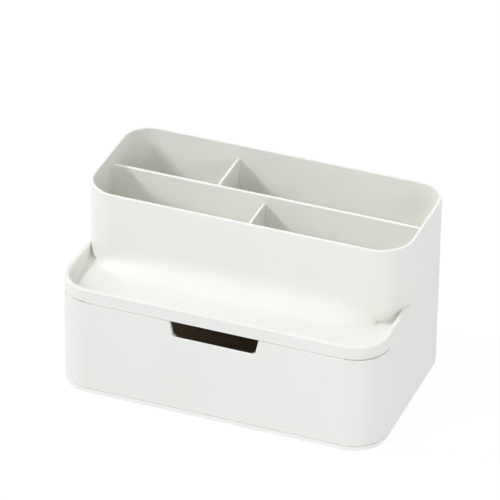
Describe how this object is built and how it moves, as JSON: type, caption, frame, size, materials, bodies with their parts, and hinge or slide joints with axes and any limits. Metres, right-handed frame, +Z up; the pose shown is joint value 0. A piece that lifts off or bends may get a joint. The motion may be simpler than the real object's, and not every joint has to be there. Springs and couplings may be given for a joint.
{
  "type": "desk organizer with drawer",
  "caption": "Stepped desk organizer with a divided pen box at the rear, a shallow rimmed tray in front and a full-width sliding drawer with a finger notch below.",
  "frame": {"origin": "middle of the footprint at the bottom of the feet", "axes": "+Z up, +X to the right of someone facing the drawer, -Y out of the front, the way the drawer opens"},
  "size_m": [0.24, 0.148, 0.1358],
  "materials": {
    "body_plastic": "satin moulded",
    "plate_plastic": "satin moulded",
    "tray_plastic": "satin moulded",
    "screw_steel": "zinc plated",
    "foot_rubber": "matt"
  },
  "bodies": {
    "organizer": {"body_shell": "body_plastic", "base_plate": "plate_plastic", "base_screws": "screw_steel", "long_divider": "body_plastic", "rear_divider": "body_plastic", "front_divider": "body_plastic", "rubber_foot_front_left": "foot_rubber", "rubber_foot_front_right": "foot_rubber", "rubber_foot_rear_left": "foot_rubber", "rubber_foot_rear_right": "foot_rubber"},
    "drawer": {"drawer_front": "body_plastic", "drawer_tray": "tray_plastic"}
  },
  "joints": [
    {"name": "drawer_slide", "type": "slide", "parent": "organizer", "child": "drawer", "axis": [0, -1, 0], "range_m": [0, 0.109]}
  ]
}
